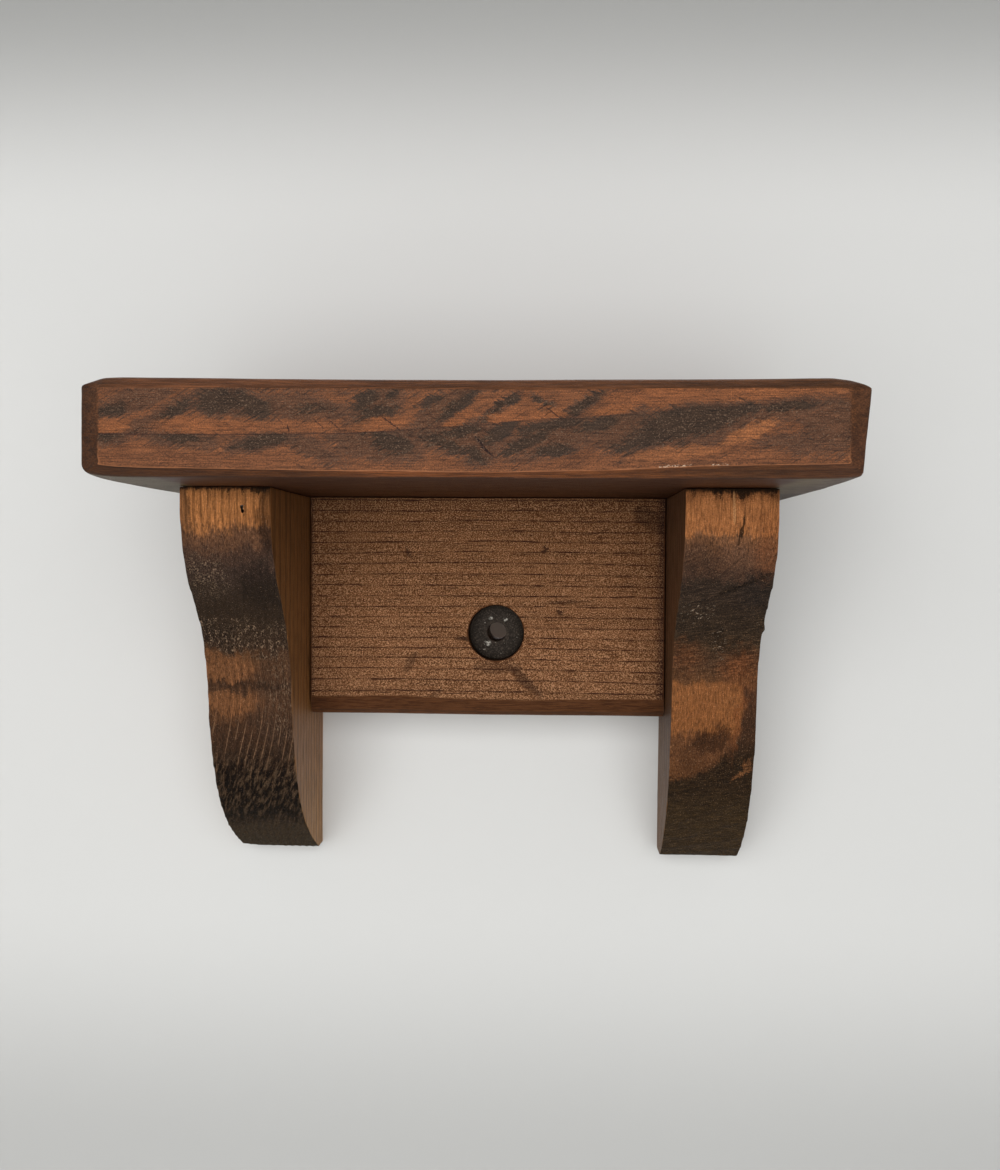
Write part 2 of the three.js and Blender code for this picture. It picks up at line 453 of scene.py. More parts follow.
class WoodGraph(Graph):
    """Stained softwood with noises that follow its grain and growth rings read from the mesh."""

    def __init__(self, name, timber, colour=None, specular=0.2, sheen=0.011):
        super().__init__(name, colour, specular, sheen)
        self.fibre = self.noise(timber.cells(0.5, 11))
        self.streak = self.noise(timber.cells(2.4, 55))
        self.blotch = self.noise((20, 20, 20), detail=4)
        self.grit = self.noise((0.5, 0.5, 0.5), detail=2, roughness=0.7)
        wavering = self.sum("MULTIPLY_ADD", self.fibre, 0.3, self.stored("ring"))
        self.ring_part = self.sum("FRACT", wavering)

    def ring_lines(self, start, peak, strength=1.0):
        """The hard dark edge of each ring: it builds up from start to peak and then stops short."""
        rising = self.ramp(self.ring_part, start, peak, strength)
        return self.times(rising, self.ramp(self.ring_part, 1.0, 0.94))

    def weather(self, fibres=0.6, grit=0.5):
        """Hair-fine fibres, grit, and edges where the stain is rubbed thin."""
        self.shade(0.35, self.ramp(self.fibre, 0.5, 0.62, fibres))
        self.shade(1.5, self.ramp(self.fibre, 0.47, 0.36, fibres))
        self.shade(1.9, self.ramp(self.grit, 0.53, 0.64, grit))
        self.shade(0.35, self.ramp(self.grit, 0.47, 0.38, grit))
        self.shade(1.3, self.ramp(self.stored("edge"), 0.3, 1.0, 0.5))


# ---- Wood finishes ----

def planed_wood(name, timber, colour=None, stops=(), axis=Z):
    """Planed faces: clear growth rings under a satin stain of one colour, or of several along an axis."""
    wood = WoodGraph(name, timber, colour)
    if stops:
        wood.colour = wood.bands(wood.split(wood.place)[axis], stops)
    wood.shade(0.6, wood.ramp(wood.streak, 0.42, 0.6, 0.5))
    wood.shade(0.5, wood.ring_lines(0.45, 0.9, 0.85))
    wood.shade(0.65, wood.ramp(wood.blotch, 0.52, 0.66, 0.45))
    wood.weather(fibres=0.55, grit=0.25)
    wood.emboss(wood.fibre, 0.15)
    wood.emboss(wood.ring_lines(0.5, 0.9), 0.1)
    return wood.finish(wood.ramp(wood.fibre, 0.3, 0.7, 0.62, 0.4))


def chamfer_colour(wood, x, z, middle_height):
    """The planes around the board's front: worn lighter at the upper left and at the lower middle."""
    upper = wood.bands(x, [
        (-152, (76, 51, 37)), (-143, (92, 61, 43)), (-128, (116, 75, 52)), (-20, (104, 67, 46)),
        (138, (98, 64, 43)), (151, (90, 60, 43)),
    ])
    lower = wood.bands(x, [
        (-152, (74, 49, 35)), (-70, (80, 50, 33)), (-20, (118, 71, 44)), (60, (108, 66, 41)),
        (110, (82, 53, 36)), (151, (88, 58, 42)),
    ])
    return wood.mixed(wood.ramp(z, middle_height - 4, middle_height + 4), lower, upper)


def board_front(name, timber, low, high):
    """The board's front edge: orange-brown, with weathered black patches whose edges follow the slanting
    marks of a circular saw, and one dark ring line that they hang from. Its chamfers are plainer. Places
    on it are in mm from the middle of the shelf and up from the underside."""
    wood = WoodGraph(name, timber, (118, 75, 50))
    dull, dark, black = (88, 62, 48), (61, 49, 41), (40, 27, 19)
    rising = wood.noise((7, 7, 0.8), turn=31, roughness=0.65)
    sinking = wood.noise((6, 6, 0.8), turn=-28, roughness=0.65)
    lumps = wood.noise((9, 9, 5))
    speck = wood.noise((0.8, 0.8, 0.5), detail=4, roughness=0.75)
    x, _, z = wood.split(wood.place)
    up = wood.sum("SUBTRACT", z, low.z / MM)
    pushes = [(rising, 7, 4), (sinking, 5, -3), (lumps, 10, 5)]
    flat = wood.flat(x, up, *pushes)
    finer = wood.flat(x, up, *pushes, (speck, 2, 1), (wood.fibre, 0, 1.5), (wood.grit, 1, 1))
    slants = wood.sum("MULTIPLY_ADD", rising, 1.1, wood.times(sinking, 0.5))
    strokes = wood.sum("MULTIPLY_ADD", speck, 1.2, slants)

    climb = wood.sum("MULTIPLY_ADD", x, 0.074, 19.9)
    line_height = wood.sum("SMOOTH_MAX", climb, 16.2, 2.0)
    wavy = wood.sum("MULTIPLY_ADD", wood.streak, 1.6, wood.sum("MULTIPLY_ADD", wood.fibre, 1.0, up))
    above_line = wood.sum("SUBTRACT", wavy, wood.sum("ADD", line_height, 1.3))
    wood.shade(0.7, wood.ramp(wood.streak, 0.42, 0.58, 0.5))
    wood.shade(0.72, wood.ramp(wood.blotch, 0.48, 0.62, 0.5))
    clean = wood.ovals(flat, [
        (-140, 19.3, 8, 2.8, 0, 1.0), (-103, 19.8, 19, 3.6, 0, 1.0), (-65, 19, 20, 2.8, 0, 0.5),
        (-37, 19.8, 12, 2.8, 8, 0.8), (-5, 22.2, 8, 2.2, 30, 0.9), (12.5, 22.4, 7, 2.8, 0, 1.0),
        (27.5, 23.6, 7, 2.8, 0, 1.0), (54, 25.4, 8, 2.2, 12, 1.0), (70, 31, 20, 3.2, 3, 0.9),
        (108, 32.4, 36, 2.4, 4, 0.8),
    ], core=0.6)
    bright = wood.times(clean, wood.ramp(above_line, 0, 0.4), wood.ramp(lumps, 0.64, 0.5, 1.0, 0.6))
    dull_patches = wood.ovals(flat, [
        (-131, 29, 17, 4, 20, 0.9), (-116, 25.5, 9, 3.5, 31, 0.9), (-92, 28, 17, 6, -4, 0.95),
        (-66, 26, 17, 4.5, -6, 0.9), (-37, 27, 12, 6, 30, 0.85), (-12, 25.5, 19, 4.2, 36, 0.9),
        (8.5, 25.5, 9.5, 1.8, 36, 0.9), (28, 27, 7, 1.6, -38, 0.85), (41, 27, 10, 2.2, 30, 0.9),
        (-140, 15, 8, 3.2, 15, 0.9), (-128, 19, 6, 3.4, 30, 0.8), (-111, 14.3, 12, 3.2, -8, 0.95),
        (-80, 13.6, 13, 3.2, 12, 1.0), (-62, 11, 14, 3.2, -20, 0.75), (-36, 12.5, 18, 6, -6, 0.95),
        (-6, 15, 17, 6, 0, 1.0), (2, 9, 7, 4.4, 0, 0.9), (30, 15, 19, 6.5, 15, 0.95),
        (57, 18, 13, 7.5, 10, 0.85), (82, 20, 27, 7.5, 12, 1.0), (117, 26, 13, 4.4, 8, 0.95),
        (136, 20, 13, 10, 0, 0.85), (122, 13, 14, 3.6, -5, 0.65), (-60, 33.5, 90, 2.6, 0, 0.3),
    ], core=0.3)
    dark_patches = wood.ovals(finer, [
        (-139, 25.3, 7, 2.6, 12, 0.8), (-114, 25.5, 8, 2.2, 31, 0.85), (-97, 29, 10, 4.5, 0, 0.9),
        (-85, 27.5, 9, 4.5, -20, 0.9), (-62, 26, 9, 2.2, 0, 0.5), (-41, 29.5, 7, 3, 35, 0.8),
        (-36, 24.5, 8, 2.6, 10, 0.9), (-30, 31.5, 5, 1.5, 35, 0.7), (-16, 29, 7, 1.8, 20, 0.7),
        (-5, 27.5, 9, 2.6, 34, 0.9), (9, 25.8, 9, 1.2, 36, 0.9), (14, 29, 4, 1.5, 10, 0.9),
        (26, 28, 5, 1.3, -38, 0.8), (43, 28, 9, 1.7, 32, 0.95), (-141, 15.2, 5, 1.8, 15, 0.7),
        (-112, 14.6, 8, 1.9, -5, 0.8), (-80, 13.8, 10, 2.2, 12, 0.95), (-31, 13, 9, 3.2, -15, 0.95),
        (-4, 17.5, 7, 2.2, 10, 0.8), (10, 17, 8, 2.8, 30, 0.95), (0, 8.5, 6, 2.4, -30, 0.75),
        (-11, 13, 9, 2.6, -25, 0.7), (20, 13, 10, 2.2, 25, 0.9), (29, 19.4, 13, 1.8, 8, 0.9),
        (31, 10.4, 8, 2.2, 0, 0.75), (47, 20, 8, 2.8, 12, 0.85), (66, 14.5, 12, 3, 15, 0.9),
        (80, 20.5, 19, 5.8, 10, 1.0), (98, 24.5, 11, 2.8, 15, 0.95), (120, 27.2, 10, 1.9, 5, 0.9),
    ], core=0.25)
    clear = wood.ramp(bright, 0, 0.9, 0.15, 1.0)
    wood.paint(dull, wood.ramp(wood.sum("ADD", dull_patches, strokes), 1.42, 1.9, 0.95), clear)
    wood.paint(dark, wood.ramp(wood.sum("ADD", dark_patches, strokes), 1.56, 2.0, 0.92), clear)
    just_below = wood.times(wood.ramp(above_line, 0, -0.4), wood.ramp(above_line, -4.5, -0.6))
    wood.paint(dark, just_below, wood.ramp(lumps, 0.42, 0.55), 0.5)
    wood.paint((136, 84, 53), bright, 0.7)
    wood.paint((142, 90, 57), wood.ovals(flat, [(105, 17.5, 10, 3, 22, 0.8), (78, 9.5, 18, 2.6, 6, 0.6)]))

    marks = wood.most(wood.ramp(rising, 0.58, 0.66), wood.ramp(sinking, 0.6, 0.68))
    wood.shade(0.45, marks, wood.ramp(dull_patches, 0, 0.5, 0.9, 0.6))
    wood.shade(1.4, wood.ramp(rising, 0.42, 0.33, 0.5))
    on_line = wood.ramp(wood.sum("ABSOLUTE", above_line), 0.4, 0.15)
    wood.paint(black, on_line, wood.ramp(x, 30, -60, 0.55, 0.2))
    crisp = wood.flat(x, up, (wood.fibre, 0.5, 1.5), (wood.grit, 0.4, 0.4))
    wood.paint(black, wood.ovals(crisp, [
        (-31, 20.5, 5, 0.3, -36, 0.8), (-52.5, 19.8, 3, 0.25, -42, 0.7),
        (-59, 20.5, 3.4, 0.25, -42, 0.6), (-70.5, 18.5, 1.6, 0.35, -75, 0.8),
        (31, 24.5, 4.4, 0.3, -38, 0.7), (3, 13.5, 3.4, 0.4, -48, 0.9), (5.6, 10.2, 3.4, 0.5, -40, 0.9),
    ]))
    wood.weather(fibres=0.6, grit=0.6)
    wood.paint((140, 114, 94), wood.ramp(speck, 0.56, 0.65, 0.7), dull_patches)
    scuffs = wood.ovals(flat, [(77, 4.2, 5, 0.8, 0, 0.9), (93, 4.0, 5, 0.8, 0, 0.9)])
    wood.paint((196, 170, 145), scuffs, wood.ramp(speck, 0.48, 0.56))

    planed = wood.ramp(wood.sum("MULTIPLY_ADD", wood.streak, 0.16, wood.stored("facing")), 1.045, 0.985)
    wood.paint(chamfer_colour(wood, x, z, (low.z + high.z) / 2 / MM), planed)
    wood.shade(0.6, planed, wood.ramp(wood.fibre, 0.46, 0.62))
    wood.shade(1.35, planed, wood.ramp(wood.fibre, 0.46, 0.36))
    wood.shade(0.65, planed, wood.ramp(wood.streak, 0.46, 0.6))
    wood.shade(1.5, planed, wood.ramp(wood.grit, 0.56, 0.66, 0.5))
    # A lighter line along the lower arris: painted highlight and worn stain.
    rim = wood.times(planed, wood.sum("SUBTRACT", 1.0, planed), wood.ramp(up, 16, 4, 2.2))
    wood.paint((172, 114, 78), rim)
    wood.emboss(wood.most(rising, sinking), 0.4)
    wood.emboss(speck, 0.25)
    return wood.finish(wood.ramp(dull_patches, 0, 1, 0.7, 0.5))


def sawn_curve(name, timber, corner, stops):
    """A bracket's band-sawn edge, with bands of scorched wood down its length. Returns the graph, how far
    each place is across and down from the edge's top left corner, and those two pushed about."""
    wood = WoodGraph(name, timber, specular=0.1, sheen=0.006)
    lumps = wood.noise((11, 11, 8))
    x, _, z = wood.split(wood.place)
    across = wood.sum("SUBTRACT", x, corner[0])
    drop = wood.sum("SUBTRACT", corner[1], z)
    pushes = [(lumps, 10, 14), (wood.streak, 4, 12), (wood.fibre, 0, 7), (wood.grit, 3, 5)]
    flat = wood.flat(across, drop, *pushes)
    wood.colour = wood.bands(wood.split(flat)[Y], stops)
    return wood, across, drop, flat


def finish_curve(wood, grit):
    """The torn fibres and ridges that the band saw left on either bracket."""
    tufts = wood.noise((1.0, 1.0, 1.8), detail=4, roughness=0.75)
    wood.weather(fibres=0.6, grit=grit)
    wood.shade(0.5, wood.ramp(tufts, 0.46, 0.36, 0.6))
    wood.emboss(tufts, 0.8)
    wood.emboss(wood.ring_lines(0.5, 0.9), 0.3)
    return wood.finish(wood.ramp(tufts, 0.35, 0.65, 0.95, 0.7))


def left_curve(name, timber, corner):
    """Two scorched bands with torn pale fibres, then thin ribs that lean over into a rippled black foot.
    The light on the ribs and the light and dark strokes on the ripples are painted highlight and shade,
    and the dark band along the top is painted shadow of the board, with torn fibres.
    """
    wood, across, drop, flat = sawn_curve(name, timber, corner, stops=[
        # The first stop darkens the top edge: painted shadow of the board.
        (0, (60, 42, 28)), (2, (160, 106, 64)), (7, (190, 126, 76)), (15, (176, 116, 70)),
        (21, (106, 74, 54)), (29, (74, 55, 45)), (37, (62, 49, 42)), (45, (56, 45, 37)),
        (58, (54, 43, 34)), (72, (60, 46, 36)), (77, (96, 66, 45)), (86, (94, 64, 44)),
        (92, (76, 54, 40)), (97, (96, 66, 46)), (105, (92, 63, 44)), (112, (72, 51, 38)),
        (126, (58, 43, 33)), (140, (42, 33, 26)), (158, (44, 35, 27)), (166, (62, 50, 37)),
        (184, (60, 49, 35)),
    ])
    black, pale = (30, 23, 18), (166, 138, 112)
    wood.paint((122, 81, 53), wood.ovals(flat, [(10, 83, 14, 6.5, 0, 0.7), (12, 99, 15, 5, 0, 0.8)]))
    grey = wood.ovals(flat, [(34, 84, 12, 12, 0, 0.5), (33, 106, 13, 14, 0, 0.5), (2, 10, 3, 14, 0, 0.5)])
    wood.paint((64, 49, 40), grey)
    wood.shade(0.4, wood.ovals(flat, [
        (32, 44, 10, 10, 0, 0.6), (7, 66, 8, 6, 0, 0.6), (20, 91, 26, 1.8, 4, 0.35),
        (39, 12, 5, 18, 0, 1.0),
    ]))

    lean = wood.times(wood.sum("MAXIMUM", wood.sum("SUBTRACT", drop, 98.0), 0.0), 0.17)
    wander = wood.noise((30, 30, 45), detail=0)
    rib_place = wood.sum("ADD", wood.sum("MULTIPLY_ADD", wander, 5.0, across), lean)
    valley = wood.sum("PINGPONG", rib_place, 1.7)
    broken = wood.noise((3, 60, 26), detail=2, turn=-6)
    rib_highlight = wood.times(wood.ramp(valley, 0.36, 0.1), wood.ramp(broken, 0.38, 0.52))
    wood.shade(0.35, wood.ramp(valley, 0.9, 1.5, 0.6), wood.ramp(drop, 26, 12))
    wood.shade(0.6, wood.ramp(valley, 0.9, 1.5, 0.5), wood.ramp(drop, 60, 80))
    # The ribs' light lines are painted highlight along their crests.
    wood.shade(1.6, rib_highlight, wood.ramp(drop, 74, 80), wood.ramp(drop, 112, 104, 0.8))
    ridged = wood.times(wood.ramp(drop, 104, 112), wood.ramp(drop, 150, 122, 0.75))
    wood.paint((132, 100, 75), rib_highlight, ridged, 0.8)

    scallops = wood.noise((1.3, 30, 5), detail=3, turn=-26, roughness=0.6)
    low = wood.times(wood.ramp(drop, 116, 134), wood.ramp(drop, 172, 150))
    # Painted shade and highlight on the ripples of the foot, over their real bumps.
    wood.shade(0.34, low, wood.ramp(scallops, 0.52, 0.42))
    wood.paint((98, 78, 60), low, wood.ramp(scallops, 0.5, 0.6, 0.5))

    dashes = wood.noise((0.55, 0.55, 3.2), detail=5, roughness=0.75)
    band = wood.ovals(flat, [(20, 67, 40, 8.5, 0, 1.0)])
    beside = wood.ovals(flat, [(9, 38, 8, 10, 0, 0.8), (35, 96, 8, 24, 0, 0.45)], core=0.4)
    torn = wood.most(wood.times(band, wood.ramp(valley, 1.4, 0.5, 1.0, 0.3)), beside)
    clumps = wood.noise((2.2, 2.2, 5), detail=2, turn=-8)
    wood.paint(pale, torn, wood.ramp(dashes, 0.52, 0.6, 0.9), wood.ramp(clumps, 0.44, 0.56, 1.0, 0.2))
    wood.paint(black, torn, wood.ramp(dashes, 0.48, 0.38, 0.8))
    wood.paint((150, 122, 100), wood.ramp(wood.grit, 0.64, 0.7, 0.5))
    # A ragged black band along the top: painted shadow of the board, with torn fibres.
    wood.paint(black, wood.ramp(wood.sum("MULTIPLY_ADD", wood.fibre, 6, drop), 4.8, 3.2, 0.8))
    wood.emboss(wood.times(wood.ramp(valley, 1.2, 0.1), wood.ramp(drop, 60, 110)), 0.35)
    wood.emboss(wood.times(low, scallops), 1.5)
    return finish_curve(wood, grit=0.3)


def right_curve(name, timber, corner):
    """A scorched waist, a clean patch with a round corner below it, and a charred foot. The dark band along
    its top is painted shadow of the board and dark stain.
    """
    wood, across, drop, flat = sawn_curve(name, timber, corner, stops=[
        # The first stop darkens the top edge: painted shadow of the board and dark stain.
        (0, (50, 34, 24)), (3, (146, 94, 58)), (7, (172, 112, 69)), (17, (164, 106, 65)),
        (21, (122, 84, 59)), (29, (100, 71, 54)), (37, (76, 56, 45)), (42, (60, 48, 40)),
        (62, (60, 48, 38)), (70, (64, 50, 38)), (78, (80, 58, 43)), (86, (92, 63, 43)),
        (90, (134, 86, 52)), (108, (132, 84, 50)), (116, (100, 66, 44)), (140, (92, 60, 38)),
        (184, (92, 60, 38)),
    ])
    black, olive = (36, 28, 21), (64, 50, 34)
    crisp = wood.flat(across, drop, (wood.streak, 5, 3), (wood.fibre, 0, 5))
    inside = wood.ovals(crisp, [(0, 99.5, 34.5, 37, 0, 1.0)])
    beyond = wood.times(wood.ramp(inside, 0.7, 0.3), wood.ramp(drop, 84, 92))
    charred = wood.bands(drop, [
        (84, (84, 56, 40)), (110, (66, 46, 34)), (128, (50, 38, 28)), (160, (58, 45, 31)),
    ])
    wood.paint(charred, beyond)
    wood.paint((116, 76, 48), wood.ovals(flat, [(34, 131, 6.5, 1.6, -38, 0.7)]))
    burnt = [(19, 115, 10, 7, -30, 0.95), (10, 124, 7, 8, 0, 0.4), (9, 30, 9, 9, 0, 0.5)]
    wood.shade(0.42, wood.ovals(flat, burnt))
    warm = [
        (31, 104, 1.3, 15, 10, 0.6), (31, 80, 8, 8, 0, 0.6), (5, 75, 8, 7, 0, 0.4), (36, 24, 6, 12, 0, 0.5),
    ]
    wood.paint((118, 70, 42), wood.ovals(flat, warm, core=0.2))
    wood.paint((40, 36, 34), wood.ovals(flat, [(34, 44, 8, 7, -30, 0.5)], core=0.3))
    wood.paint(olive, wood.ramp(drop, 142, 160, 0.6))
    wood.paint(black, wood.ovals(crisp, [(24, 16, 0.6, 9, 4, 0.9), (28, 41, 15, 0.6, -24, 0.85)]))
    wood.paint((190, 140, 94), wood.ovals(crisp, [(20.5, 8, 0.5, 7, 0, 0.6)]))
    wood.paint(black, wood.ovals(flat, [(21, 66, 2.4, 4.2, 10, 0.55)]))

    sweeping = wood.noise((5, 5, 0.7), detail=3, roughness=0.7, turn=8)
    sooty = wood.times(wood.ramp(drop, 34, 44), wood.ramp(drop, 90, 80))
    sooty = wood.most(sooty, wood.times(beyond, wood.ramp(drop, 118, 130)))
    wood.shade(0.5, sooty, wood.ramp(sweeping, 0.52, 0.42, 0.8))
    wood.shade(1.7, sooty, wood.ramp(sweeping, 0.54, 0.64, 0.8))
    dashes = wood.noise((2.2, 2.2, 0.45), detail=2, roughness=0.6, turn=14)
    scratched = wood.ovals(flat, [
        (10, 54, 8, 4, 0, 0.9), (21, 67, 3, 7, 0, 0.9), (37, 61, 2.5, 1.6, 0, 0.7),
    ])
    wood.paint((190, 168, 146), scratched, wood.ramp(dashes, 0.63, 0.67, 0.85))
    wood.paint((146, 116, 90), wood.ramp(wood.grit, 0.63, 0.69, 0.5))
    # A ragged black band along the top: painted shadow of the board and dark stain.
    wood.paint(black, wood.ramp(wood.sum("MULTIPLY_ADD", wood.fibre, 6, drop), 5.2, 3.4, 0.85))
    return finish_curve(wood, grit=0.35)


def rough_rail(name, timber, low, high):
    """The rail's face as it came off the mill: pale fuzz, thin dark ring lines and smears of dirt, with
    painted shade under the board and at both ends.
    """
    wood = WoodGraph(name, timber)
    x, _, z = wood.split(wood.place)
    bottom, top = low.z / MM, high.z / MM
    wood.colour = wood.bands(z, [
        (bottom, (124, 84, 57)), (bottom + 35, (136, 92, 62)),
        # Darker over the top 12 mm: painted shadow of the board above.
        (top - 35, (136, 92, 61)), (top - 12, (132, 88, 57)), (top, (100, 64, 40)),
    ])
    dark, pale = (60, 37, 22), (204, 154, 114)
    fuzz = wood.noise((0.62, 0.62, 0.5), detail=3, roughness=0.75)
    broken = wood.noise((9, 9, 1.5), detail=3)
    wood.paint((88, 57, 36), wood.ramp(wood.streak, 0.44, 0.6, 0.45))
    wood.paint(pale, wood.ramp(fuzz, 0.51, 0.6, 0.9))
    wood.paint((76, 48, 31), wood.ramp(fuzz, 0.49, 0.4, 0.9))
    wood.paint(dark, wood.ring_lines(0.84, 0.93), wood.ramp(broken, 0.4, 0.5, 1.0, 0.35))
    cracks = wood.noise((16, 16, 0.45), detail=2)
    wood.paint(dark, wood.ramp(cracks, 0.62, 0.68, 0.9))
    flat = wood.flat(x, z, (fuzz, 5, 5), (broken, 6, 3))
    smears = wood.ovals(flat, [
        (-40, -28, 6, 2.2, 60, 0.45), (-28, -45, 5, 1.6, 50, 0.35), (17, -36, 13, 2.4, -45, 0.6),
        (3, -30, 12, 3, 0, 0.4), (-12, -16, 6, 1, 0, 0.8), (-41, 27, 1, 3.4, 20, 0.7),
        (27, 29, 1.2, 2, 0, 0.8), (35, -2.5, 1.6, 1.8, 30, 0.8), (40, 3, 12, 0.7, 3, 0.6),
        (80, 44, 10, 5, -30, 0.5),
    ])
    wood.paint((52, 36, 27), smears)
    # Darker where the ends meet the brackets: painted shade, broken up by the fuzz.
    right_end_shade = wood.ramp(x, high.x / MM - 6, high.x / MM - 1, 0.75)
    left_end_shade = wood.ramp(x, low.x / MM + 3, low.x / MM, 0.6)
    wood.paint((46, 30, 20), wood.most(right_end_shade, left_end_shade), wood.ramp(fuzz, 0.6, 0.45, 1.0, 0.5))
    planed = wood.ramp(wood.sum("MULTIPLY_ADD", wood.streak, 0.16, wood.stored("facing")), 1.06, 1.0)
    lit, dim = wood.tone((100, 64, 41)), wood.tone((72, 45, 29))
    chamfer = wood.mixed(wood.ramp(wood.fibre, 0.42, 0.62), lit, dim)
    wood.paint(chamfer, planed, wood.ramp(z, top - 6, top - 12))
    wood.paint(dark, wood.ramp(wood.stored("edge"), 0.5, 1.0, 0.35))
    wood.emboss(fuzz, 0.9)
    wood.emboss(wood.fibre, 0.3)
    return wood.finish(0.75)


# ---- Pieces ----

def middle_of(node):
    low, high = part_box(node)
    return (low + high) / 2


def nail_line(node):
    """Where a nail's head is, which way it points, its head's radius and its length."""
    low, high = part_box(node)
    size, middle = high - low, middle_of(node)
    radius = min(size) / 2
    if node.startswith("shelf"):
        return Vector((middle.x, middle.y, high.z)), Vector((0, 0, -1)), radius, size.z
    if node.startswith("rail"):
        inward = -math.copysign(1, middle.x)
        head = Vector((middle.x - inward * size.x / 2, middle.y, middle.z))
        return head, Vector((inward, 0, 0)), radius, size.x
    upwards = Vector((0, 1, 1)).normalized()
    length = size.y * math.sqrt(2) - 2 * radius
    return middle - upwards * length / 2, upwards, radius, length


NAILS = sorted(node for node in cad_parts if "nail" in node)


def nail_holes(*starts):
    """A bore for each nail whose name starts so: wider than its head, with fibres closing its mouth."""
    holes = []
    for node in NAILS:
        if node.startswith(starts):
            head, direction, radius, length = nail_line(node)
            mouth = (0.42 if "toe" in node else 0.7) * radius
            wide, outside, end = radius + 0.2 * MM, -10 * MM, length + 1 * MM
            profile = [
                (0, outside), (mouth, outside), (mouth, -1.5 * MM),
                (wide, -0.4 * MM), (wide, end), (0, end),
            ]
            holes.append(lathe(profile, head, direction, segments=24))
    return holes


def board_lines(low, high, x_step, y_step, z_step):
    """Grid lines for a board that lies along X. In Y they widen towards the wall."""
    return [
        even_lines(low.x, high.x, x_step * MM),
        graded_lines(low.y, high.y, y_step * MM, 4 * MM),
        even_lines(low.z, high.z, z_step * MM),
    ]


def timber_piece(node, timber, lines, shape, relief, materials, material_of, bores):
    """Builds one wooden piece: a fine grid shaped by `shape`, weathered, bored and given its finishes."""
    points, quads, sides = surface_grid(lines)
    square = shape(points)
    points = relaxed(square, quads, 2)
    rounding = np.linalg.norm(points - square, axis=1)
    normals = point_normals(points, quads)
    points = points + normals * relief(points, normals)[:, None] * MM
    piece = new_object(node + "_wood", points, quads, materials)
    faces = material_of(face_normals(points, quads), sides, points[quads].mean(axis=1))
    piece.data.polygons.foreach_set("material_index", faces.astype(np.int32))
    store(piece, "edge", np.clip(rounding / (0.25 * MM), 0, 1))
    store(piece, "facing", -normals[:, Y])
    if bores:
        bore(piece, bores)
    store(piece, "ring", timber.rings(point_array(piece.data)))
    finish_piece(piece, node)


def unevenness(points, timber, seed):
    """Hand-worked wood isn't flat: slow waves and finer ripples along the grain, in millimetres."""
    slow = noise(timber.stretched(points, 22, 55), seed)
    fine = noise(timber.stretched(points, 3, 14), seed + 7)
    return 0.18 * slow + 0.05 * fine


def make_board():
    low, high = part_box("shelf_board")
    timber = Timber(X, (-60, -55), 4.2, waver=0.8, seed=3)

    def shape(points):
        x, y, z = points.T
        up = (z - low.z) / (high.z - low.z)
        narrower = (0.8 + 3.5 * (1 - up)) * MM * ramp(x, 0, high.x)
        points = np.stack([x - narrower, y, z], axis=1)
        points = plane_off(points, (0, low.y, high.z), (0, -1, 1), 2.9 * MM)
        places = (-150, -107, -68, -30, 10, 48, 86, 125)
        widths = (2.7, 2.3, 1.8, 1.5, 1.5, 1.9, 3.0, 3.7)
        lower = np.interp(x / MM, places, widths) * MM
        points = plane_off(points, (0, low.y, low.z), (0, -1, -1), lower)
        # Each end's top falls away over 16 mm, and its lower front corner is worn up by `lift` mm.
        for end, side, fall, lift, reach in (
            (low.x, -1, (3.4, 2.0, 0.25, 0), 3.4, 14),
            (high.x, 1, (4.5, 2.6, 1.0, 0), 2.9, 45),
        ):
            inset = min(end, high.x - 1.7 * MM)
            points = plane_off(points, (inset, low.y, 0), (side * 5, -9, 0), 4.3 * MM)
            points = plane_off(points, (inset, 0, low.z), (side, 0, -1), 1.6 * MM)
            beside, behind = np.abs(points[:, X] - end), points[:, Y] - low.y
            fallen = np.interp(beside, np.array([0, 4, 9, 16]) * MM, fall) * MM
            points[:, Z] -= fallen * (points[:, Z] - low.z) / (high.z - low.z)
            risen = lift * MM * np.exp(-beside / (6 * MM) - behind / (reach * MM))
            points[:, Z] += risen * (high.z - points[:, Z]) / (high.z - low.z)
        # The top edge of the front is bowed, lowest near its middle.
        hollow = 1 - np.clip((x - 15 * MM) / (150 * MM), -1, 1) ** 2
        points[:, Z] += (0.8 - 0.9 * hollow) * MM * up * ramp(-y, 100 * MM, 170 * MM)
        return points

    def relief(points, normals):
        facing = ramp(-normals[:, Y], 0.6, 0.95)
        slant = points @ np.array([0.53, 0, -0.85]) / (1.9 * MM)
        along = points @ np.array([0.85, 0, 0.53]) / (16 * MM)
        marks = noise(np.stack([slant, along, 0 * slant], axis=1), 5)
        return unevenness(points, timber, 11) + 0.12 * marks * facing

    def material_of(normals, sides, middles):
        front = (sides == FRONT) | ((middles[:, Y] < low.y + 7 * MM) & (np.abs(normals[:, Z]) < 0.95))
        return np.select([front, sides == BOTTOM], [1, 2], 0)

    materials = [
        planed_wood("board_planed", timber, (116, 74, 48)),
        board_front("board_front", timber, low, high),
        # The underside's colours are darker than the other planed faces: painted shade. Outside the brackets
        # they turn greyer: partly painted reflection of the pale wall, partly stain.
        planed_wood("board_underside", timber, axis=X, stops=[
            (-140, (97, 82, 58)), (-128, (94, 79, 56)), (-122, (74, 45, 30)), (122, (74, 45, 30)),
            (128, (104, 86, 58)), (148, (84, 60, 42)),
        ]),
        planed_wood("board_bored", timber, (64, 45, 32)),
    ]
    lines = board_lines(low, high, 1.25, 0.8, 1.0)
    timber_piece("shelf_board", timber, lines, shape, relief, materials, material_of,
                 nail_holes("shelf_nail", "left_bracket"))


